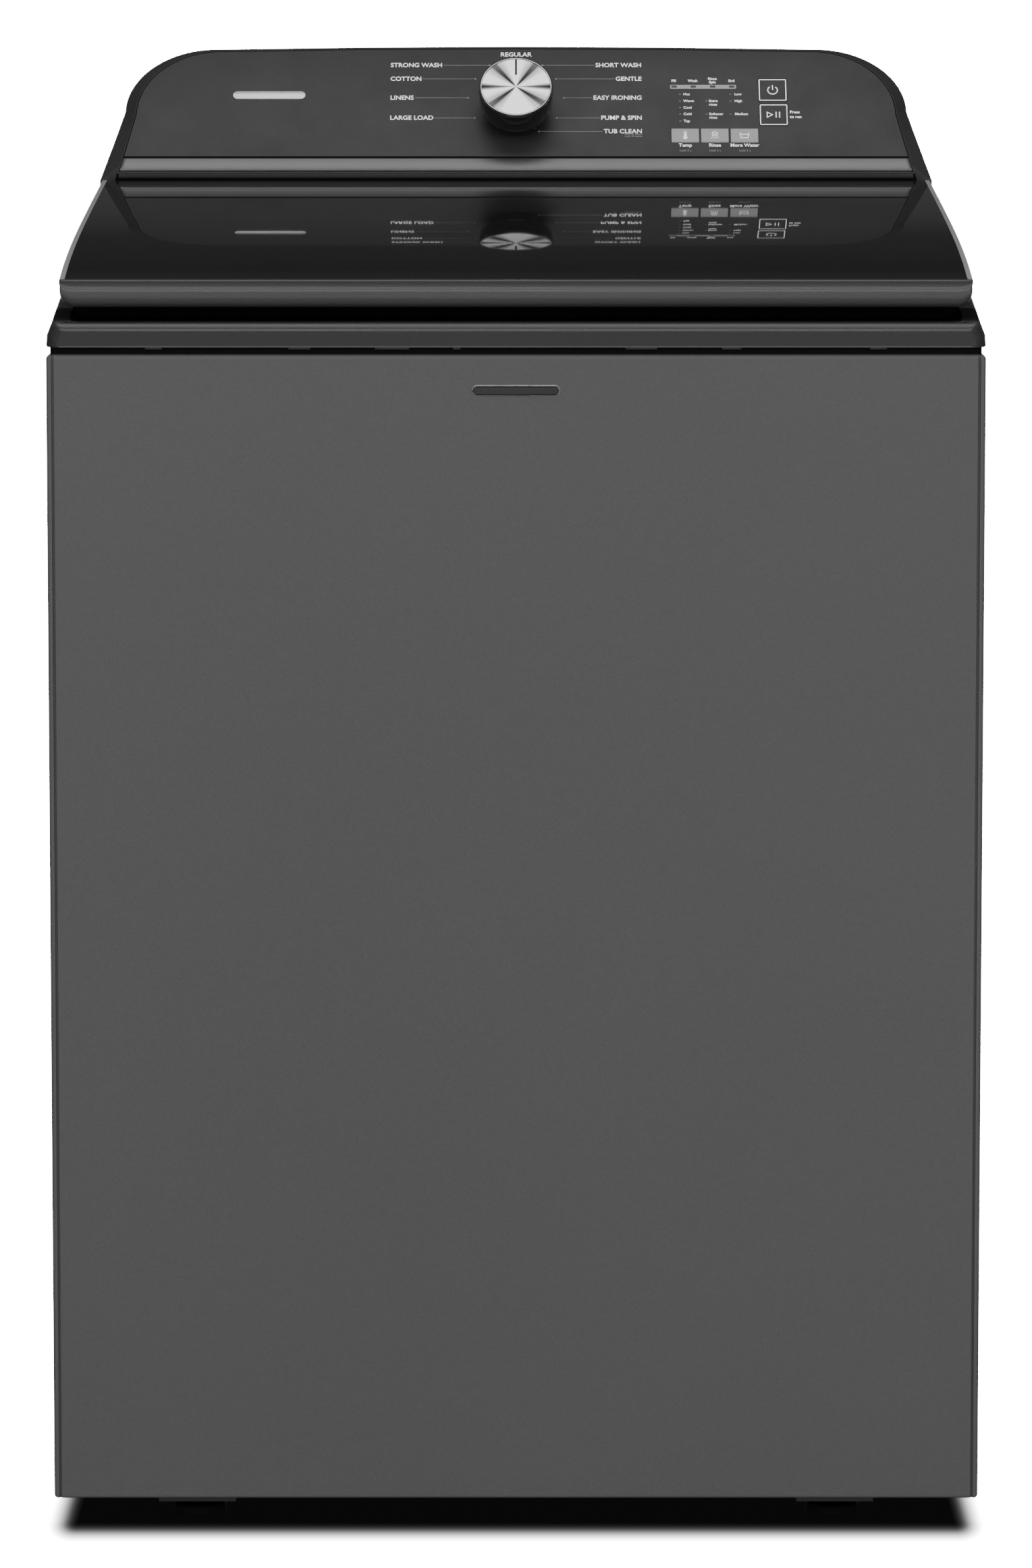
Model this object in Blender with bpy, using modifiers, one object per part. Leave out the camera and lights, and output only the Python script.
"""A top load washing machine as separate pieces, in metres, +Z up.

The origin is on the floor, in the middle of the machine. The front faces -Y and +X is to the right.
A depth is measured back from the front panel, so its place along Y is FRONT + depth.
"""

import math

import bmesh
import bpy
from mathutils import Matrix, Vector

# Driving dimensions
WIDTH = 0.6985
FRONT = -0.345
WRAP_DEPTH = 0.672
REARMOST = 0.345
SHEET = 0.001
WRAP_BOTTOM = 0.020
WRAP_TOP = 0.886
WRAP_CORNER = 0.006
GAP = 0.0003

DECK_BOTTOM = 0.891
DECK_SKIRT_BOTTOM = 0.866
DECK_WALL = 0.0035
DECK_REAR_TOP = 0.955
DECK_RAIL_DROP = 0.0305
DECK_RING_DROP = 0.022
DECK_RING_HALF = 0.330
DECK_RING_FRONT = 0.046
DECK_RECESS = 0.9085
GUTTER_FRONT = 0.456

OPENING_CENTRE = 0.320
OPENING_RADIUS = 0.232
OPENING_REAR = 0.436
COLLAR_WALL = 0.0035
COLLAR_BOTTOM = 0.888

LID_HALF = 0.3396
LID_FRONT = 0.010
LID_REAR = 0.488
LID_THICK = 0.021
LID_THIN = 0.009
LID_PLATE = 0.007
LID_CORNER = 0.012
GLASS = 0.004
GLASS_HALF = 0.3366
GLASS_FRONT = 0.0135
PIVOT_DEPTH = 0.470
PIVOT_HEIGHT = 0.981
PIN_RADIUS = 0.003

FACE_DEPTH = 0.505
FACE_HEIGHT = 1.014
FACE_LEAN = math.radians(38.0)
CONSOLE_FRONT = 0.4954
TRIM_LOW = -0.0155
FASCIA_LOW = 0.0015
FASCIA_THICK = 0.003
HOUSING_WALL = 0.003
HOUSING_FACE_WALL = 0.008

KNOB_ALONG_FACE = 0.0456
KNOB_RADIUS = 0.0305
KNOB_TALL = 0.035
SHAFT_RADIUS = 0.003

TUB_DEPTH = 0.336
TUB_RADIUS = 0.300
TUB_WALL = 0.003
TUB_BOTTOM = 0.285
TUB_TOP = 0.848
BASKET_RADIUS = 0.272
BASKET_WALL = 0.0015
BASKET_BOTTOM = 0.320
BASKET_TOP = 0.812
SPIN_TUBE_RADIUS = 0.020
DRIVE_SHAFT_RADIUS = 0.012
LUG_HEIGHT = 0.430
LUG_THICK = 0.022
ROD_X = 0.300
ROD_Y = 0.285
ROD_RADIUS = 0.005
ROD_CAP = 0.330
BRACKET_HEIGHT = 0.848

MOTOR_X = 0.120
MOTOR_Y = 0.112
PULLEY_LOW = 0.118
PULLEY_HIGH = 0.136
DRIVE_PULLEY_RADIUS = 0.075
MOTOR_PULLEY_RADIUS = 0.022
BELT_THICK = 0.003

FOOT_X = 0.241
FOOT_INSET = 0.045

TUB_Y = FRONT + TUB_DEPTH


def clear_scene():
    for obj in list(bpy.data.objects):
        bpy.data.objects.remove(obj)


def new_collection(name, hidden=False):
    collection = bpy.data.collections.new(name)
    bpy.context.scene.collection.children.link(collection)
    collection.hide_render = hidden
    return collection


clear_scene()
MACHINE = new_collection("top_load_washing_machine")
CUTTERS = new_collection("cutters", hidden=True)


def material(name, colour, roughness, metallic=0.0):
    made = bpy.data.materials.new(name)
    made.use_nodes = True
    shader = made.node_tree.nodes["Principled BSDF"]
    shader.inputs["Base Color"].default_value = (*colour, 1.0)
    shader.inputs["Roughness"].default_value = roughness
    shader.inputs["Metallic"].default_value = metallic
    made.diffuse_color = (*colour, 1.0)
    return made


CABINET_PAINT = material("cabinet_paint", (0.089, 0.089, 0.091), 0.45, 0.4)
DECK_PLASTIC = material("deck_plastic", (0.060, 0.060, 0.062), 0.40)
CONSOLE_PLASTIC = material("console_plastic", (0.062, 0.062, 0.064), 0.45)
TRIM_SATIN = material("trim_satin", (0.205, 0.205, 0.205), 0.35, 0.7)
BLACK_GLASS = material("black_glass", (0.012, 0.012, 0.013), 0.05)
BLACK_GLOSS = material("black_gloss", (0.010, 0.010, 0.010), 0.12)
SPUN_METAL = material("spun_metal", (0.80, 0.80, 0.80), 0.22, 1.0)
BUTTON_GREY = material("button_grey", (0.30, 0.30, 0.30), 0.45)
STAINLESS = material("stainless", (0.62, 0.62, 0.63), 0.25, 1.0)
TUB_PLASTIC = material("tub_plastic", (0.72, 0.73, 0.74), 0.45)
WHITE_PLASTIC = material("white_plastic", (0.80, 0.80, 0.79), 0.40)
GREY_PLASTIC = material("grey_plastic", (0.40, 0.41, 0.42), 0.45)
ZINC_STEEL = material("zinc_steel", (0.55, 0.56, 0.57), 0.40, 1.0)
CAST_ALLOY = material("cast_alloy", (0.50, 0.50, 0.51), 0.50, 1.0)
BLACK_RUBBER = material("black_rubber", (0.025, 0.025, 0.025), 0.75)
BOARD_GREEN = material("board_green", (0.03, 0.15, 0.07), 0.50)


def add_object(name, mesh, paint, matrix=None, helper=False):
    obj = bpy.data.objects.new(name, mesh)
    (CUTTERS if helper else MACHINE).objects.link(obj)
    if matrix is not None:
        obj.matrix_world = matrix
    if helper:
        obj.hide_render = True
        obj.display_type = "WIRE"
    if paint is not None:
        mesh.materials.append(paint)
    return obj


def from_bmesh(name, shape, paint=None, matrix=None, helper=False):
    bmesh.ops.recalc_face_normals(shape, faces=shape.faces)
    mesh = bpy.data.meshes.new(name)
    shape.to_mesh(mesh)
    shape.free()
    return add_object(name, mesh, paint, matrix, helper)


def block(name, low, high, paint=None, matrix=None, helper=False):
    """A box from its low corner to its high corner."""
    shape = bmesh.new()
    low, high = Vector(low), Vector(high)
    size = high - low
    place = Matrix.Translation((low + high) / 2) @ Matrix.Diagonal((*size, 1.0))
    bmesh.ops.create_cube(shape, size=1.0, matrix=place)
    return from_bmesh(name, shape, paint, matrix, helper)


def rod(name, start, end, radius, paint=None, sides=24, matrix=None, helper=False):
    """A cylinder between two points."""
    start, end = Vector(start), Vector(end)
    along = end - start
    turn = Vector((0, 0, 1)).rotation_difference(along).to_matrix().to_4x4()
    place = Matrix.Translation((start + end) / 2) @ turn
    shape = bmesh.new()
    bmesh.ops.create_cone(
        shape, cap_ends=True, segments=sides, radius1=radius, radius2=radius, depth=along.length, matrix=place
    )
    return from_bmesh(name, shape, paint, matrix, helper)


def prism(name, outline, low, high, paint=None, matrix=None, helper=False):
    """A flat outline of (x, y) points, pushed from low to high along local z."""
    shape = bmesh.new()
    face = shape.faces.new([shape.verts.new((x, y, low)) for x, y in outline])
    pushed = bmesh.ops.extrude_face_region(shape, geom=[face])
    moved = [v for v in pushed["geom"] if isinstance(v, bmesh.types.BMVert)]
    bmesh.ops.translate(shape, verts=moved, vec=(0, 0, high - low))
    return from_bmesh(name, shape, paint, matrix, helper)


def loft(name, loops, paint=None, helper=False):
    """A solid through closed loops of points, with a flat cap at each end."""
    shape = bmesh.new()
    rings = [[shape.verts.new(point) for point in loop] for loop in loops]
    for near, far in zip(rings, rings[1:]):
        for i in range(len(near)):
            j = (i + 1) % len(near)
            shape.faces.new((near[i], near[j], far[j], far[i]))
    shape.faces.new(rings[0])
    shape.faces.new(rings[-1])
    return from_bmesh(name, shape, paint, None, helper)


def turned(name, profile, paint=None, steps=48, matrix=None, helper=False):
    """A profile of (radius, height) points turned round local z. A ring's profile is closed."""
    mesh = bpy.data.meshes.new(name)
    ring = profile[0][0] > 0 and profile[-1][0] > 0
    edges = [(i, i + 1) for i in range(len(profile) - 1)]
    if ring:
        edges.append((len(profile) - 1, 0))
    mesh.from_pydata([(radius, 0, height) for radius, height in profile], edges, [])
    obj = add_object(name, mesh, paint, matrix, helper)
    screw = obj.modifiers.new("turn", "SCREW")
    screw.steps = steps
    screw.render_steps = steps
    screw.use_merge_vertices = True
    screw.merge_threshold = 0.0001
    screw.use_smooth_shade = True
    return obj


def change(obj, other, operation="DIFFERENCE"):
    modifier = obj.modifiers.new(operation.lower(), "BOOLEAN")
    modifier.operation = operation
    modifier.object = other
    modifier.solver = "EXACT"
    return obj


def cut(obj, *cutters):
    for cutter in cutters:
        change(obj, cutter)
    return obj


def join(obj, *others):
    for other in others:
        change(obj, other, "UNION")
    return obj


def soften(obj, width, angle=40.0, segments=2):
    bevel = obj.modifiers.new("soften", "BEVEL")
    bevel.width = width
    bevel.segments = segments
    bevel.limit_method = "ANGLE"
    bevel.angle_limit = math.radians(angle)
    return obj


def arc(centre, radius, start, end, steps):
    """Points round an arc, with both ends, from angle start to angle end in degrees."""
    found = []
    for i in range(steps + 1):
        angle = math.radians(start + (end - start) * i / steps)
        found.append((centre[0] + radius[0] * math.cos(angle), centre[1] + radius[1] * math.sin(angle)))
    return found


def rounded_rectangle(x0, y0, x1, y1, radius, steps=3):
    both = (radius, radius)
    return (
        arc((x1 - radius, y0 + radius), both, -90, 0, steps)
        + arc((x1 - radius, y1 - radius), both, 0, 90, steps)
        + arc((x0 + radius, y1 - radius), both, 90, 180, steps)
        + arc((x0 + radius, y0 + radius), both, 180, 270, steps)
    )


def tube_along(name, points, radius, paint, resolution=2):
    """A round tube that follows points, with filled ends."""
    curve = bpy.data.curves.new(name, "CURVE")
    curve.dimensions = "3D"
    curve.bevel_depth = radius
    curve.bevel_resolution = resolution
    curve.use_fill_caps = True
    spline = curve.splines.new("POLY")
    spline.points.add(len(points) - 1)
    for place, point in zip(spline.points, points):
        place.co = (*point, 1.0)
    curve.materials.append(paint)
    obj = bpy.data.objects.new(name, curve)
    MACHINE.objects.link(obj)
    return obj


def lid_top(depth):
    """Height of the lid's top surface: steeper at the front, then nearly straight."""
    back = max(depth - 0.015, 0.0)
    return 0.941 + 0.09 * back + 0.0125 * (1 - math.exp(-back / 0.090))


# ---------------------------------------------------------------- cabinet


def plan_outline(half_width, front, rear, radius, steps=6):
    """The open path of the wrap in plan, from the right rear round the front to the left rear."""
    right = arc((half_width - radius, front + radius), (radius, radius), 0, -90, steps)
    left = arc((-half_width + radius, front + radius), (radius, radius), -90, -180, steps)
    return [(half_width, rear)] + right + left + [(-half_width, rear)]


def corner_bracket(x_side, y_side):
    """The shelf in a top corner that a suspension rod hangs from."""
    x_in, x_out = 0.272, WIDTH / 2 - 0.0006
    y_rod = TUB_Y + y_side * ROD_Y
    low = (min(x_side * x_in, x_side * x_out), y_rod - 0.030, BRACKET_HEIGHT)
    high = (max(x_side * x_in, x_side * x_out), y_rod + 0.030, BRACKET_HEIGHT + 0.003)
    return block("bracket_shape", low, high, helper=True)


def make_cabinet_wrap():
    rear = FRONT + WRAP_DEPTH
    half = WIDTH / 2
    outer = plan_outline(half, FRONT, rear, WRAP_CORNER)
    inner = plan_outline(half - SHEET, FRONT + SHEET, rear - SHEET, WRAP_CORNER - SHEET)
    lip = 0.014
    outline = outer + [(-half + lip, rear), (-half + lip, rear - SHEET)]
    outline += inner[::-1] + [(half - lip, rear - SHEET), (half - lip, rear)]
    wrap = prism("cabinet_wrap", outline, WRAP_BOTTOM, WRAP_TOP, CABINET_PAINT)
    for x_side in (-1, 1):
        for y_side in (-1, 1):
            join(wrap, corner_bracket(x_side, y_side))
    for x_side in (-1, 1):
        for y_side in (-1, 1):
            at = (x_side * ROD_X, TUB_Y + y_side * ROD_Y)
            cut(wrap, rod("rod_hole", (*at, 0.84), (*at, 0.86), 0.0065, sides=12, helper=True))
    return wrap


def make_rear_panel():
    rear = FRONT + WRAP_DEPTH - SHEET - GAP
    panel = block(
        "rear_panel", (-0.345, rear - SHEET, 0.024), (0.345, rear, DECK_SKIRT_BOTTOM - 0.002), ZINC_STEEL
    )
    for row in range(6):
        z = 0.120 + 0.024 * row
        cut(panel, block("louvre", (-0.060, rear - 0.01, z), (0.060, rear + 0.01, z + 0.008), helper=True))
    cut(panel, rod("drain_hole", (-0.250, 0.30, 0.835), (-0.250, 0.34, 0.835), 0.0156, helper=True))
    return panel


def make_base_frame():
    rear = FRONT + WRAP_DEPTH - 0.004
    bottom, top = 0.0215, 0.052
    frame = block("base_frame", (-0.3460, FRONT + 0.0025, bottom), (0.3460, rear, top), ZINC_STEEL)
    tray_low, tray_high = (-0.3430, FRONT + 0.0055, bottom + 0.003), (0.3430, rear - 0.003, 0.09)
    cut(frame, block("tray", tray_low, tray_high, helper=True))
    cut(frame, block("middle", (-0.275, FRONT + 0.085, 0.0), (0.275, rear - 0.085, 0.05), helper=True))
    for x_side in (-1, 1):
        for y_side in (-1, 1):
            x = x_side * FOOT_X
            y = FRONT + FOOT_INSET if y_side < 0 else rear - FOOT_INSET
            near = y - 0.043 if y_side < 0 else y - 0.030
            pad_low, pad_high = (x - 0.029, near, 0.0172), (x + 0.029, y + 0.030, bottom + 0.001)
            join(frame, block("foot_pad", pad_low, pad_high, helper=True))
            cut(frame, rod("foot_hole", (x, y, 0.0), (x, y, 0.04), 0.0055, sides=16, helper=True))
    return frame


def make_feet():
    rear = FRONT + WRAP_DEPTH - 0.004
    places = {
        "levelling_foot_front_left": (-FOOT_X, FRONT + FOOT_INSET),
        "levelling_foot_front_right": (FOOT_X, FRONT + FOOT_INSET),
        "levelling_foot_rear_left": (-FOOT_X, rear - FOOT_INSET),
        "levelling_foot_rear_right": (FOOT_X, rear - FOOT_INSET),
    }
    profile = [
        (0, 0.064),
        (0.005, 0.064),
        (0.005, 0.0155),
        (0.0095, 0.0140),
        (0.0095, 0.0090),
        (0.020, 0.006),
        (0.020, 0.0),
        (0, 0.0),
    ]
    for name, (x, y) in places.items():
        turned(name, profile, BLACK_RUBBER, 16, Matrix.Translation((x, y, 0)))


# ---------------------------------------------------------------- deck


def deck_rail(depth):
    """Height of the deck's outer rail beside the lid."""
    if depth > GUTTER_FRONT:
        return DECK_REAR_TOP
    round_front = 0.006
    top = lid_top(depth) - DECK_RAIL_DROP
    if depth < round_front:
        top -= round_front - math.sqrt(max(round_front**2 - (round_front - depth) ** 2, 0.0))
    return top


def deck_section(depth, inset=0.0, bottom=DECK_BOTTOM, ring=None):
    """A closed loop across the deck at one depth. The ring is the raised part round the opening."""
    corner = 0.010
    narrow = corner - math.sqrt(max(corner**2 - (corner - min(depth, corner)) ** 2, 0.0))
    half = WIDTH / 2 - narrow - inset
    rail = deck_rail(depth) - inset
    inner = min(rail, DECK_RECESS - inset) if ring is None else ring - inset
    ring_foot = min(DECK_RING_HALF + 0.002 - inset, half - 0.0100)
    half_loop = [
        (half, bottom),
        (half - 0.0010, bottom + 0.010),
        (half - 0.0030, rail - 0.005),
        (half - 0.0045, rail - 0.0015),
        (half - 0.0080, rail),
        (ring_foot, rail),
        (ring_foot - 0.002, inner),
    ]
    loop = half_loop + [(-x, z) for x, z in reversed(half_loop)]
    return [(x, FRONT + depth, z) for x, z in loop]


def deck_loops(inset, bottom):
    """Sections from front to rear: front edge, finger gap, raised ring, hinge gutter, rear shelf."""
    first = 0.0 if inset == 0 else 0.004
    last = WRAP_DEPTH if inset == 0 else WRAP_DEPTH - 0.004
    plain = [first, 0.0008, 0.0025, 0.0060, 0.010, DECK_RING_FRONT - 0.003]
    loops = [deck_section(depth, inset, bottom) for depth in plain if depth >= first]
    ring_depths = [DECK_RING_FRONT + along for along in (0.0, 0.045, 0.100, 0.180, 0.290)]
    for depth in [*ring_depths, GUTTER_FRONT - 0.002]:
        loops.append(deck_section(depth, inset, bottom, lid_top(depth) - DECK_RING_DROP))
    for depth in (GUTTER_FRONT + 0.001, last):
        loops.append(deck_section(depth, inset, bottom, DECK_REAR_TOP))
    return loops


def opening_outline(grow):
    """The round opening with a straight rear edge."""
    radius = OPENING_RADIUS + grow
    rear = OPENING_REAR - OPENING_CENTRE + grow
    angle = math.degrees(math.asin(rear / radius))
    return arc((0, FRONT + OPENING_CENTRE), (radius, radius), 180 - angle, 360 + angle, 32)


def across(x, depth, height):
    return (x, FRONT + depth, height)


def deck_ports():
    """Holes in the rear wall for the two inlet threads and the mains gland."""
    made = []
    for x, radius in ((-0.200, 0.0145), (-0.160, 0.0145), (0.250, 0.0103)):
        made.append(rod("port", across(x, 0.64, 0.920), across(x, 0.70, 0.920), radius, helper=True))
    return made


def hinge_lug(x):
    low = across(x - 0.004, PIVOT_DEPTH - 0.0055, DECK_REAR_TOP - 0.001)
    high = across(x + 0.004, PIVOT_DEPTH + 0.0035, PIVOT_HEIGHT + 0.005)
    return block("hinge_lug", low, high, helper=True)


def deck_skirt():
    """The ring under the deck that drops inside the cabinet wrap."""
    half, front, rear, wall = 0.3462, 0.0034, 0.6686, 0.0032
    low, high = DECK_SKIRT_BOTTOM, DECK_BOTTOM + 0.008
    skirt = block("deck_skirt", across(-half, front, low), across(half, rear, high), helper=True)
    inner_low = across(-half + wall, front + wall, low - 0.01)
    inner_high = across(half - wall, rear - wall, high + 0.01)
    return cut(skirt, block("skirt_inside", inner_low, inner_high, helper=True))


def hinge_cheek(side):
    """The low wall beside the gutter that hides the hinge."""
    near, far = side * 0.3412, side * 0.3438
    low = across(min(near, far), 0.450, DECK_REAR_TOP - 0.001)
    high = across(max(near, far), 0.4950, PIVOT_HEIGHT + 0.001)
    return block("hinge_cheek", low, high, helper=True)


def make_top_deck():
    deck = loft("top_deck", deck_loops(0.0, DECK_BOTTOM), DECK_PLASTIC)
    hollow = loft("deck_hollow", deck_loops(DECK_WALL, 0.80), helper=True)
    cut(hollow, prism("collar", opening_outline(COLLAR_WALL), COLLAR_BOTTOM, 1.05, helper=True))
    cut(deck, hollow)
    join(deck, deck_skirt())
    cut(deck, prism("opening", opening_outline(0.0), 0.80, 1.10, helper=True))
    for side in (-1, 1):
        join(deck, hinge_lug(side * 0.322), hinge_cheek(side))
    start, end = across(-0.34, PIVOT_DEPTH, PIVOT_HEIGHT), across(0.34, PIVOT_DEPTH, PIVOT_HEIGHT)
    cut(deck, rod("pivot_bore", start, end, PIN_RADIUS + GAP, sides=16, helper=True), *deck_ports())
    cut(deck, block("nozzle_slot", across(-0.031, 0.420, 0.900), across(0.031, 0.452, 0.918), helper=True))
    cut(deck, block("strike_slot", across(0.2405, 0.060, 0.90), across(0.2505, 0.087, 0.96), helper=True))
    cup = rounded_rectangle(-0.300, FRONT + 0.060, -0.222, FRONT + 0.112, 0.010)
    cut(deck, prism("cup_hole", cup, 0.90, 0.97, helper=True))
    return deck


def make_dispenser_cup():
    """The bleach cup set into the deck's front left corner."""
    outer = rounded_rectangle(-0.2997, FRONT + 0.0603, -0.2223, FRONT + 0.1117, 0.0097)
    inner = rounded_rectangle(-0.2972, FRONT + 0.0628, -0.2248, FRONT + 0.1092, 0.0072)
    cup = prism("dispenser_cup", outer, 0.895, 0.9265, GREY_PLASTIC)
    cut(cup, prism("cup_hollow", inner, 0.8975, 0.95, helper=True))
    return cup


def make_lid_lock():
    lock = block("lid_lock", across(0.2525, 0.062, 0.906), across(0.296, 0.088, 0.9238), WHITE_PLASTIC)
    start, end = across(0.24, 0.075, 0.915), across(0.285, 0.075, 0.915)
    cut(lock, rod("bolt_bore", start, end, 0.0033, sides=16, helper=True))
    start, end = across(0.2515, 0.075, 0.915), across(0.274, 0.075, 0.915)
    rod("lock_bolt", start, end, 0.003, ZINC_STEEL, sides=16)


# ---------------------------------------------------------------- lid


def lid_section(depth, half, top, low, corner):
    """A closed loop across the lid, with a small top edge and rounded lower corners."""
    edge = 0.002
    bend = arc((half - corner, low + corner), (corner, corner), -90, 0, 5)
    half_loop = bend + [(half, top - edge), (half - edge * 0.3, top - edge * 0.3), (half - edge, top)]
    loop = half_loop + [(-x, z) for x, z in reversed(half_loop)]
    return [(x, FRONT + depth, z) for x, z in loop]


def lid_underside(depth):
    """The lid is thick in front and thin over the hinge gutter."""
    thin_from, thin_at = 0.425, 0.450
    share = min(max((depth - thin_from) / (thin_at - thin_from), 0.0), 1.0)
    thick = LID_THICK + (LID_THIN - LID_THICK) * share
    return lid_top(depth) - thick


def lid_loops():
    front = ((0.0, 0.0040, 0.0050), (0.0006, 0.0020, 0.0025), (0.0020, 0.0006, 0.0008), (0.0040, 0.0, 0.0))
    loops = []
    for back, top_less, low_more in front:
        depth = LID_FRONT + back
        top, low = lid_top(depth) - top_less, lid_underside(depth) + low_more
        loops.append(lid_section(depth, LID_HALF - top_less, top, low, LID_CORNER))
    for depth in (0.040, 0.080, 0.130, 0.190, 0.260, 0.340, 0.425, 0.450, LID_REAR):
        low = lid_underside(depth)
        corner = min(LID_CORNER, lid_top(depth) - low - 0.004)
        loops.append(lid_section(depth, LID_HALF, lid_top(depth), low, corner))
    return loops


def curved_slab(name, half, depths, top_drop, low_drop, paint=None, helper=False):
    """A slab that follows the lid's top curve, between two distances below it."""
    loops = []
    for depth in depths:
        top, low = lid_top(depth) - top_drop, lid_top(depth) - low_drop
        corners = [(-half, low), (half, low), (half, top), (-half, top)]
        loops.append([(x, FRONT + depth, z) for x, z in corners])
    return loft(name, loops, paint, helper)


def lid_depths(front, rear):
    between = (0.040, 0.080, 0.130, 0.190, 0.260, 0.340, 0.425)
    return [front] + [depth for depth in between if front < depth < rear] + [rear]


def hinge_knuckle(x):
    top = lid_top(PIVOT_DEPTH) - LID_PLATE + 0.0015
    low = across(x - 0.008, PIVOT_DEPTH - 0.0055, PIVOT_HEIGHT - 0.005)
    high = across(x + 0.008, PIVOT_DEPTH + 0.0050, top)
    return block("hinge_knuckle", low, high, helper=True)


def make_lid():
    frame = loft("lid_frame", lid_loops(), DECK_PLASTIC)
    cut(frame, curved_slab("lid_hollow", 0.330, lid_depths(0.017, 0.500), LID_PLATE, 0.045, helper=True))
    cut(frame, curved_slab("glass_pocket", GLASS_HALF + GAP, lid_depths(GLASS_FRONT - GAP, 0.500), -0.010,
                           GLASS + GAP, helper=True))
    cut(frame, curved_slab("lid_window", 0.250, lid_depths(0.075, 0.420), -0.010, 0.030, helper=True))
    for x in (-0.308, 0.308):
        join(frame, hinge_knuckle(x))
    start, end = across(-0.34, PIVOT_DEPTH, PIVOT_HEIGHT), across(0.34, PIVOT_DEPTH, PIVOT_HEIGHT)
    cut(frame, rod("knuckle_bore", start, end, PIN_RADIUS + GAP, sides=16, helper=True))
    curved_slab("lid_glass", GLASS_HALF, lid_depths(GLASS_FRONT, LID_REAR), 0.0, GLASS, BLACK_GLASS)
    for side, name in ((-1, "hinge_pin_left"), (1, "hinge_pin_right")):
        near = across(side * 0.299, PIVOT_DEPTH, PIVOT_HEIGHT)
        far = across(side * 0.328, PIVOT_DEPTH, PIVOT_HEIGHT)
        rod(name, near, far, PIN_RADIUS, STAINLESS, sides=16)
    top = lid_top(0.068) - LID_PLATE - GAP
    strike = block("lid_strike", across(0.244, 0.068, 0.909), across(0.247, 0.082, top), STAINLESS)
    start, end = across(0.24, 0.075, 0.915), across(0.25, 0.075, 0.915)
    cut(strike, rod("strike_eye", start, end, 0.0037, sides=16, helper=True))


# ---------------------------------------------------------------- console

FACE_UP = Vector((0, math.sin(FACE_LEAN), math.cos(FACE_LEAN)))
FACE_OUT = Vector((0, -math.cos(FACE_LEAN), math.sin(FACE_LEAN)))
FACE = Matrix(
    (
        (1, 0, 0, 0),
        (0, FACE_UP.y, FACE_OUT.y, FRONT + FACE_DEPTH),
        (0, FACE_UP.z, FACE_OUT.z, FACE_HEIGHT),
        (0, 0, 0, 1),
    )
)


def face_place(x, along, out=0.0):
    return FACE @ Matrix.Translation((x, along, out))


def face_outline(inset=0.0, low=TRIM_LOW):
    """Half of the face border, as (x, distance up the face), from the foot to the crown."""
    side = [(0.3280 - (along - TRIM_LOW) * 0.2066 - inset, along) for along in (low, low + 0.008)]
    side.append((0.3201 - inset, 0.023))
    corner = arc((0.245, 0.045), (0.0705 - inset, 0.0655 - inset), 0, 90, 8)
    crown = [(0.125, 0.1127 - inset), (0.0, 0.1135 - inset)]
    return side + corner + crown


def mirrored(half):
    return half + [(-x, y) for x, y in reversed(half) if x > 0]


def housing_outline(inset):
    """Half of the housing's widest outline, as (x, distance up the face)."""
    side = [(0.342 - inset, -0.0745), (0.342 - inset, -0.0236), (0.3300 - inset, 0.023)]
    corner = arc((0.250, 0.046), (0.074 - inset, 0.065 - inset), 0, 90, 8)
    crown = [(0.125, 0.1132 - inset), (0.0, 0.114 - inset)]
    return side + corner + crown


def housing_loops(inset):
    """Loops from the leaning face back to the upright rear edge."""
    floor = DECK_REAR_TOP + GAP + inset
    if inset == 0:
        first = [FACE @ Vector((x, along, 0)) for x, along in mirrored(face_outline())]
    else:
        half = face_outline(0.014, TRIM_LOW + 0.014)
        first = [FACE @ Vector((x, along, -HOUSING_FACE_WALL)) for x, along in mirrored(half)]
    loops = [first]
    rear = FRONT + WRAP_DEPTH
    for share, tall in ((0.10, 1.0), (0.20, 0.99), (0.40, 0.945), (0.70, 0.85), (1.0, 0.72)):
        loop = []
        for x, along in mirrored(housing_outline(inset)):
            point = FACE @ Vector((x, along, 0))
            if along < 0:
                point.y = FRONT + CONSOLE_FRONT + 0.004 * (share > 0.1) + inset
            if along < -0.05:
                point.z = floor
            height = floor + (point.z - floor) * tall
            loop.append(Vector((point.x, point.y + (rear - point.y) * share * (along > 0), height)))
        if share > 0.1:
            for point, (x, along) in zip(loop, mirrored(housing_outline(inset))):
                if along < 0:
                    point.y += (rear - point.y) * share
        loops.append(loop)
    if inset:
        loops.append([point + Vector((0, 0.010, 0)) for point in loops[-1]])
    return loops


def make_console_housing():
    housing = loft("console_housing", housing_loops(0.0), CONSOLE_PLASTIC)
    cut(housing, loft("console_hollow", housing_loops(HOUSING_WALL), helper=True))
    recess = mirrored(face_outline(0.0012, TRIM_LOW + 0.0012))
    cut(housing, prism("face_recess", recess, -FASCIA_THICK - GAP, 0.02, matrix=FACE, helper=True))
    window = mirrored(face_outline(0.0145, TRIM_LOW + 0.020))
    cut(housing, prism("face_window", window, -HOUSING_FACE_WALL - 0.002, 0.01, matrix=FACE, helper=True))
    return housing


BUTTONS = {
    "temp_button": (0.1397, 0.0224, 0.0229, 0.0139, BUTTON_GREY),
    "rinse_button": (0.1641, 0.0224, 0.0229, 0.0139, BUTTON_GREY),
    "deep_water_button": (0.1886, 0.0224, 0.0229, 0.0139, BUTTON_GREY),
    "power_button": (0.2128, 0.0691, 0.0234, 0.0236, CONSOLE_PLASTIC),
    "start_button": (0.2132, 0.0437, 0.0234, 0.0220, CONSOLE_PLASTIC),
}


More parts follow.
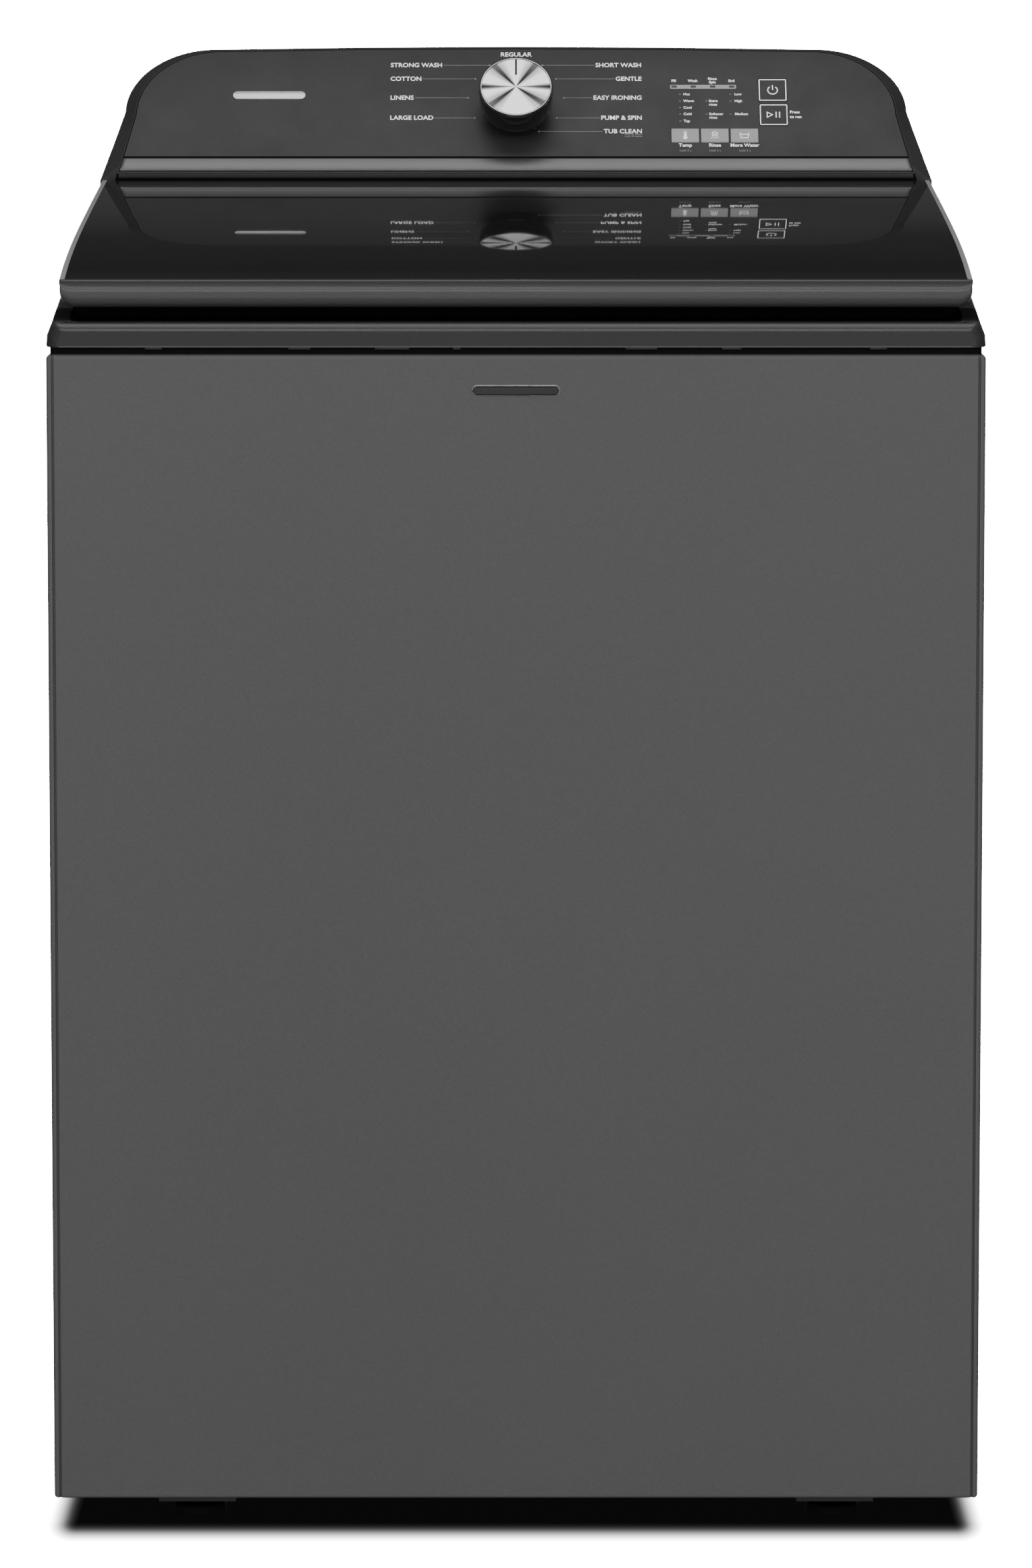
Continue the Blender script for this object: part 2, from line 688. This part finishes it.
def make_fascia():
    outline = mirrored(face_outline(0.0015, FASCIA_LOW))
    fascia = prism("console_fascia", outline, -FASCIA_THICK, 0.0, CONSOLE_PLASTIC, matrix=FACE)
    for x, along, wide, tall, _ in BUTTONS.values():
        across_half, along_half = wide / 2 + GAP, tall / 2 + GAP
        hole = rounded_rectangle(-across_half, -along_half, across_half, along_half, 0.001, 1)
        cut(fascia, prism("button_hole", hole, -0.01, 0.01, matrix=face_place(x, along), helper=True))
    bar = rounded_rectangle(0.1275, 0.0695, 0.1830, 0.0749, 0.0025, 2)
    cut(fascia, prism("bar_hole", bar, -0.01, 0.01, matrix=FACE, helper=True))
    hole = (0, KNOB_ALONG_FACE)
    cut(fascia, rod("shaft_hole", (*hole, -0.01), (*hole, 0.01), 0.005, matrix=FACE, helper=True))


def make_buttons():
    for name, (x, along, wide, tall, paint) in BUTTONS.items():
        proud = 0.0008 if paint is BUTTON_GREY else 0.0003
        cap = rounded_rectangle(-wide / 2, -tall / 2, wide / 2, tall / 2, 0.0008, 2)
        prism(name, cap, -0.0065, proud, paint, matrix=face_place(x, along))


def make_trim_and_light_bar():
    low, high = TRIM_LOW + 0.0015, -0.0003
    half_low = 0.3280 - (low - TRIM_LOW) * 0.2066 - 0.0015
    half_high = 0.3280 - (high - TRIM_LOW) * 0.2066 - 0.0015
    outline = [(-half_low, low), (half_low, low), (half_high, high), (-half_high, high)]
    prism("console_trim", outline, -FASCIA_THICK, 0.0003, TRIM_SATIN, matrix=FACE)
    bar = rounded_rectangle(0.1278, 0.0698, 0.1827, 0.0746, 0.0022, 2)
    prism("light_bar", bar, -0.0060, 0.0002, BUTTON_GREY, matrix=FACE)


def make_electronics():
    block("control_board", (0.100, 0.006, -0.0135), (0.240, 0.092, -0.0119), BOARD_GREEN, matrix=FACE)
    along = KNOB_ALONG_FACE
    encoder = block("selector_encoder", (-0.016, along - 0.016, -0.0170), (0.016, along + 0.016, -0.0045),
                    BLACK_RUBBER, matrix=FACE)
    bore = rod("encoder_bore", (0, along, -0.0150), (0, along, 0.0), SHAFT_RADIUS + 0.0004, sides=20,
               matrix=FACE, helper=True)
    cut(encoder, bore)


def make_knob():
    place = face_place(0, KNOB_ALONG_FACE)
    bore, skirt, tall = SHAFT_RADIUS + GAP, KNOB_RADIUS, KNOB_TALL
    profile = [
        (0.0, tall),
        (skirt - 0.0012, tall),
        (skirt, tall - 0.0012),
        (skirt, 0.0170),
        (skirt - 0.0010, 0.0160),
        (skirt - 0.0004, 0.0150),
        (skirt - 0.0004, 0.0006),
        (skirt - 0.0030, 0.0006),
        (skirt - 0.0030, 0.0300),
        (0.0070, 0.0300),
        (0.0070, 0.0050),
        (bore, 0.0050),
        (bore, 0.0290),
        (0.0, 0.0290),
    ]
    turned("knob_body", profile, BLACK_GLOSS, 32, place)
    face = [(0.0, tall + 0.0018), (0.0290, tall + 0.0018), (0.0300, tall + 0.0010), (0.0300, tall + GAP),
            (0.0, tall + GAP)]
    turned("knob_face", face, SPUN_METAL, 32, place)
    shaft = [(0.0, 0.0287), (SHAFT_RADIUS, 0.0287), (SHAFT_RADIUS, -0.0145), (0.0, -0.0145)]
    turned("selector_shaft", shaft, ZINC_STEEL, 16, place)


def make_console_rear_cover():
    rear = FRONT + WRAP_DEPTH
    outline = []
    for point in housing_loops(HOUSING_WALL + GAP)[-1]:
        outline.append((point.x, point.z))
    turn = Matrix.Translation((0, rear - 0.0005, 0)) @ Matrix.Rotation(math.radians(90), 4, "X")
    prism("console_rear_cover", outline, 0.0, 0.0025, ZINC_STEEL, matrix=turn)


# ---------------------------------------------------------------- water path


def make_water_inlet_valve():
    low, high = across(-0.225, 0.600, 0.898), across(-0.135, 0.645, 0.942)
    valve = block("water_inlet_valve", low, high, WHITE_PLASTIC)
    for x in (-0.200, -0.160):
        start, end = across(x, 0.640, 0.920), across(x, REARMOST - FRONT, 0.920)
        join(valve, rod("thread", start, end, 0.0132, helper=True))
    for x in (-0.200, -0.160):
        cut(valve, rod("water_way", across(x, 0.655, 0.920), across(x, 0.70, 0.920), 0.0100, helper=True))
    return valve


def make_fill_parts():
    low, high = across(-0.030, 0.412, 0.9015), across(0.030, 0.480, 0.9165)
    nozzle = block("fill_nozzle", low, high, GREY_PLASTIC)
    low, high = across(-0.027, 0.400, 0.9040), across(0.027, 0.476, 0.9140)
    cut(nozzle, block("nozzle_way", low, high, helper=True))
    start, end = Vector(across(-0.180, 0.5996, 0.909)), Vector(across(0, 0.4804, 0.909))
    lead, pull = Vector((0, 0.010, 0)), Vector((0, 0.065, 0))
    near, far = start - lead, end + lead
    points = [start]
    steps = 14
    for i in range(steps + 1):
        t = i / steps
        s = 1 - t
        point = s**3 * near + 3 * s * s * t * (near - pull)
        points.append(point + 3 * s * t * t * (far + pull) + t**3 * far)
    points.append(end)
    tube_along("fill_hose", points, 0.009, BLACK_RUBBER)


def make_gland_and_outlet():
    turn = Matrix.Rotation(math.radians(-90), 4, "X")
    gland = [(0.0140, 0.0150), (0.0140, 0.0045), (0.0100, 0.0045), (0.0100, -0.0060), (0.0065, -0.0060),
             (0.0065, 0.0150)]
    place = Matrix.Translation((0.250, FRONT + WRAP_DEPTH - 0.0042, 0.920)) @ turn
    turned("power_gland", gland, BLACK_RUBBER, 16, place)
    rear = FRONT + WRAP_DEPTH
    collar = [(0.0150, -0.0150), (0.0220, -0.0150), (0.0220, -0.0175), (0.0150, -0.0175)]
    pipe = [(0.0150, 0.0), *collar, (0.0150, -0.0430), (0.0115, -0.0430), (0.0115, 0.0)]
    place = Matrix.Translation((-0.250, rear + 0.0178, 0.835)) @ turn
    turned("drain_outlet", pipe, GREY_PLASTIC, 20, place)


# ---------------------------------------------------------------- tub group


def rod_direction(x_side, y_side):
    return math.atan2(y_side * ROD_Y, x_side * ROD_X)


def tub_lug(x_side, y_side):
    turn = Matrix.Translation((0, TUB_Y, 0)) @ Matrix.Rotation(rod_direction(x_side, y_side), 4, "Z")
    low, high = (TUB_RADIUS - 0.0020, -0.024, LUG_HEIGHT), (0.436, 0.024, LUG_HEIGHT + LUG_THICK)
    return block("tub_lug", low, high, matrix=turn, helper=True)


def make_outer_tub():
    r, wall, low, high = TUB_RADIUS, TUB_WALL, TUB_BOTTOM, TUB_TOP
    bend_out = arc((r - 0.030, low + 0.030), (0.030, 0.030), 0, -90, 3)
    bend_in = arc((r - 0.030, low + 0.030), (0.030 - wall, 0.030 - wall), -90, 0, 3)
    boss = [(0.0240, low), (0.0240, low + 0.012), (0.045, low + 0.012), (0.050, low + wall)]
    profile = [(r, high)] + bend_out + boss + bend_in + [(r - wall, high)]
    tub = turned("outer_tub", profile, TUB_PLASTIC, 36, Matrix.Translation((0, TUB_Y, 0)))
    for x_side in (-1, 1):
        for y_side in (-1, 1):
            join(tub, tub_lug(x_side, y_side))
    for x_side in (-1, 1):
        for y_side in (-1, 1):
            at = (x_side * ROD_X, TUB_Y + y_side * ROD_Y)
            cut(tub, rod("lug_bore", (*at, 0.40), (*at, 0.48), 0.0085, sides=12, helper=True))
    return tub


def make_tub_ring():
    high = 0.872
    profile = [
        (0.3065, high - 0.003),
        (0.3065, 0.836),
        (0.3035, 0.836),
        (0.3035, high - 0.006),
        (0.2400, high - 0.006),
        (0.2400, 0.862),
        (0.2370, 0.862),
        (0.2370, high - 0.003),
        (0.2400, high),
        (0.3035, high),
    ]
    turned("tub_ring", profile, WHITE_PLASTIC, 36, Matrix.Translation((0, TUB_Y, 0)))


def make_basket():
    r, wall, low, high = BASKET_RADIUS, BASKET_WALL, BASKET_BOTTOM, BASKET_TOP
    bend_out = arc((r - 0.022, low + 0.022), (0.022, 0.022), 0, -90, 3)
    bend_in = arc((r - 0.022, low + 0.022), (0.022 - wall, 0.022 - wall), -90, 0, 3)
    hub = SPIN_TUBE_RADIUS + GAP
    profile = [(r, high)] + bend_out + [(hub, low), (hub, low + wall)] + bend_in + [(r - wall, high)]
    place = Matrix.Translation((0, TUB_Y, 0))
    turned("wash_basket", profile, STAINLESS, 36, place)
    ring_low, ring_high = high + GAP, 0.858
    ring = [(0.276, ring_high - 0.010), (0.276, ring_low), (0.252, ring_low), (0.247, ring_low + 0.008),
            (0.247, ring_high - 0.008), (0.252, ring_high), (0.266, ring_high)]
    turned("balance_ring", ring, WHITE_PLASTIC, 36, place)


def make_basket_hub():
    inner, high = SPIN_TUBE_RADIUS + GAP, BASKET_BOTTOM - GAP
    low = high - 0.018
    profile = [(0.075, high), (0.075, high - 0.010), (0.035, low), (inner, low), (inner, high)]
    hub = turned("basket_hub", profile, CAST_ALLOY, 24, Matrix.Translation((0, TUB_Y, 0)))
    for i in range(3):
        turn = Matrix.Translation((0, TUB_Y, 0)) @ Matrix.Rotation(math.radians(90 + 120 * i), 4, "Z")
        arm_low, arm_high = (0.060, -0.020, high - 0.009), (0.225, 0.020, high - 0.0004)
        join(hub, block("hub_arm", arm_low, arm_high, matrix=turn, helper=True))
    tube = [(SPIN_TUBE_RADIUS, BASKET_BOTTOM + 0.003), (SPIN_TUBE_RADIUS, 0.146), (0.0163, 0.146),
            (0.0163, BASKET_BOTTOM + 0.003)]
    turned("spin_tube", tube, ZINC_STEEL, 24, Matrix.Translation((0, TUB_Y, 0)))


def make_wash_plate():
    low = BASKET_BOTTOM + 0.0065
    bore = DRIVE_SHAFT_RADIUS + GAP
    top_side = [(0.0, 0.074), (0.022, 0.072), (0.036, 0.062), (0.046, 0.040), (0.075, 0.026), (0.222, 0.014)]
    rim = [(0.230, 0.008), (0.230, 0.0), (0.222, 0.0)]
    under_side = [(0.220, 0.009), (0.075, 0.018), (0.024, 0.034), (0.024, 0.0)]
    socket = [(bore, 0.0), (bore, 0.050), (0.0, 0.050)]
    profile = [(radius, low + rise) for radius, rise in top_side + rim + under_side + socket]
    plate = turned("wash_plate", profile, GREY_PLASTIC, 32, Matrix.Translation((0, TUB_Y, 0)))
    for i in range(6):
        turn = Matrix.Translation((0, TUB_Y, 0)) @ Matrix.Rotation(math.radians(60 * i), 4, "Z")
        fin_low, fin_high = (0.040, -0.007, low + 0.0165), (0.205, 0.007, low + 0.031)
        join(plate, block("plate_fin", fin_low, fin_high, matrix=turn, helper=True))
    radius, top, end = DRIVE_SHAFT_RADIUS, low + 0.0497, 0.108
    shaft = [(0.0, top), (radius, top), (radius, end), (0.0, end)]
    turned("drive_shaft", shaft, ZINC_STEEL, 24, Matrix.Translation((0, TUB_Y, 0)))


def make_gearcase():
    bore = SPIN_TUBE_RADIUS + 0.0005
    top = TUB_BOTTOM - 0.003 - GAP
    flange = [(0.105, top), (0.105, top - 0.008), (0.070, top - 0.016)]
    profile = flange + [(0.070, 0.180), (0.055, 0.150), (bore, 0.150), (bore, top)]
    case = turned("gearcase", profile, CAST_ALLOY, 24, Matrix.Translation((0, TUB_Y, 0)))
    angle = math.atan2(MOTOR_Y, MOTOR_X)
    turn = Matrix.Translation((0, TUB_Y, 0)) @ Matrix.Rotation(angle, 4, "Z")
    plate = block("motor_plate", (0.040, -0.045, 0.1505), (0.215, 0.045, 0.1565), matrix=turn, helper=True)
    join(case, plate)
    at = (MOTOR_X, TUB_Y + MOTOR_Y)
    return cut(case, rod("shaft_way", (*at, 0.14), (*at, 0.17), 0.0100, sides=16, helper=True))


def pulley_rim(rim):
    """The flanged rim of a pulley, from its upper flange down to its lower one."""
    low, high, flange = PULLEY_LOW, PULLEY_HIGH, rim + 0.004
    upper = [(flange, high), (flange, high - 0.003), (rim, high - 0.003)]
    return upper + [(rim, low + 0.003), (flange, low + 0.003), (flange, low)]


def make_motor():
    place = Matrix.Translation((MOTOR_X, TUB_Y + MOTOR_Y, 0))
    bore = 0.0068
    shell = [(0.040, 0.262), (0.058, 0.256), (0.062, 0.246), (0.062, 0.172), (0.058, 0.162)]
    body = shell + [(0.030, 0.1568), (bore, 0.1568), (bore, 0.262)]
    turned("drive_motor", body, CAST_ALLOY, 24, place)
    spindle = [(0.0, 0.252), (0.006, 0.252), (0.006, PULLEY_HIGH)]
    pulley = spindle + pulley_rim(MOTOR_PULLEY_RADIUS) + [(0.0, PULLEY_LOW)]
    turned("motor_pulley", pulley, ZINC_STEEL, 20, place)


def make_drive_pulley():
    bore = DRIVE_SHAFT_RADIUS + GAP
    profile = pulley_rim(DRIVE_PULLEY_RADIUS) + [(bore, PULLEY_LOW), (bore, PULLEY_HIGH)]
    turned("drive_pulley", profile, CAST_ALLOY, 28, Matrix.Translation((0, TUB_Y, 0)))


def belt_outline(slack):
    """The path round both pulleys, with the tangents between their rims."""
    big, small = DRIVE_PULLEY_RADIUS + slack, MOTOR_PULLEY_RADIUS + slack
    apart = math.hypot(MOTOR_X, MOTOR_Y)
    toward = math.degrees(math.atan2(MOTOR_Y, MOTOR_X))
    spread = math.degrees(math.acos((big - small) / apart))
    around_big = arc((0, TUB_Y), (big, big), toward + spread, toward + 360 - spread, 20)
    around_small = arc((MOTOR_X, TUB_Y + MOTOR_Y), (small, small), toward - spread, toward + spread, 8)
    return around_big + around_small


def make_belt():
    low, high = PULLEY_LOW + 0.0035, PULLEY_HIGH - 0.0035
    belt = prism("drive_belt", belt_outline(0.0006 + BELT_THICK), low, high, BLACK_RUBBER)
    return cut(belt, prism("belt_inside", belt_outline(0.0006), low - 0.01, high + 0.01, helper=True))


def make_pump_and_actuator():
    at = (-0.150, TUB_Y - 0.125)
    body = [(0.0, 0.2817), (0.030, 0.2817), (0.036, 0.276), (0.036, 0.225), (0.028, 0.219), (0.0, 0.219)]
    pump = turned("drain_pump", body, GREY_PLASTIC, 20, Matrix.Translation((*at, 0)))
    start, end = (at[0], at[1], 0.245), (at[0] - 0.060, at[1], 0.245)
    join(pump, rod("spigot", start, end, 0.011, sides=16, helper=True))
    low, high = (-0.125, TUB_Y - 0.026, 0.200), (-0.0706, TUB_Y + 0.026, 0.250)
    soften(block("shift_actuator", low, high, WHITE_PLASTIC), 0.003)


def make_drain_hose():
    """From the pump's spigot round the left side, up the rear corner to the outlet."""
    control = [
        Vector((-0.2108, TUB_Y - 0.125, 0.245)),
        Vector((-0.2350, TUB_Y - 0.125, 0.245)),
        Vector((-0.290, TUB_Y - 0.085, 0.242)),
        Vector((-0.320, TUB_Y + 0.060, 0.245)),
        Vector((-0.312, TUB_Y + 0.190, 0.262)),
        Vector((-0.262, TUB_Y + 0.290, 0.330)),
        Vector((-0.246, TUB_Y + 0.304, 0.480)),
        Vector((-0.250, TUB_Y + 0.290, 0.660)),
        Vector((-0.250, TUB_Y + 0.262, 0.780)),
        Vector((-0.250, TUB_Y + 0.272, 0.822)),
        Vector((-0.250, TUB_Y + 0.293, 0.835)),
        Vector((-0.250, FRONT + WRAP_DEPTH + 0.0178 - 0.0438, 0.835)),
    ]
    points = [control[0]]
    steps = 3
    for a, b, c, d in zip(control, control[1:], control[2:], control[3:]):
        for i in range(steps):
            t = i / steps
            square = 2 * a - 5 * b + 4 * c - d
            cube = 3 * b - a - 3 * c + d
            points.append(0.5 * (2 * b + (c - a) * t + square * t**2 + cube * t**3))
    points += control[-2:]
    tube_along("drain_hose", points, 0.0115, BLACK_RUBBER, 1)


def make_suspension():
    turns, wire, coil, per_turn = 4, 0.0019, 0.016, 8
    low, high = ROD_CAP + 0.0060, LUG_HEIGHT - GAP
    for x_side, side_name in ((-1, "left"), (1, "right")):
        for y_side, end_name in ((-1, "front"), (1, "rear")):
            x, y = x_side * ROD_X, TUB_Y + y_side * ROD_Y
            place = f"{end_name}_{side_name}"
            head = [(0.0, 0.860), (0.010, 0.859), (0.0115, 0.8515), (ROD_RADIUS, 0.8513)]
            cap_top, cap_low = ROD_CAP + 0.004, ROD_CAP - 0.004
            profile = head + [(ROD_RADIUS, cap_top), (0.021, cap_top), (0.021, cap_low), (0.0, cap_low)]
            turned(f"suspension_rod_{place}", profile, ZINC_STEEL, 16, Matrix.Translation((x, y, 0)))
            points = []
            for i in range(turns * per_turn + 1):
                angle = 2 * math.pi * i / per_turn
                share = i / (turns * per_turn)
                height = low + wire + (high - low - 2 * wire) * share
                points.append((x + coil * math.cos(angle), y + coil * math.sin(angle), height))
            tube_along(f"suspension_spring_{place}", points, wire, STAINLESS, 0)


make_cabinet_wrap()
make_rear_panel()
make_base_frame()
make_feet()
make_top_deck()
make_dispenser_cup()
make_lid_lock()
make_lid()
make_console_housing()
make_fascia()
make_buttons()
make_trim_and_light_bar()
make_electronics()
make_knob()
make_console_rear_cover()
make_water_inlet_valve()
make_fill_parts()
make_gland_and_outlet()
make_outer_tub()
make_tub_ring()
make_basket()
make_basket_hub()
make_wash_plate()
make_gearcase()
make_motor()
make_drive_pulley()
make_belt()
make_pump_and_actuator()
make_drain_hose()
make_suspension()
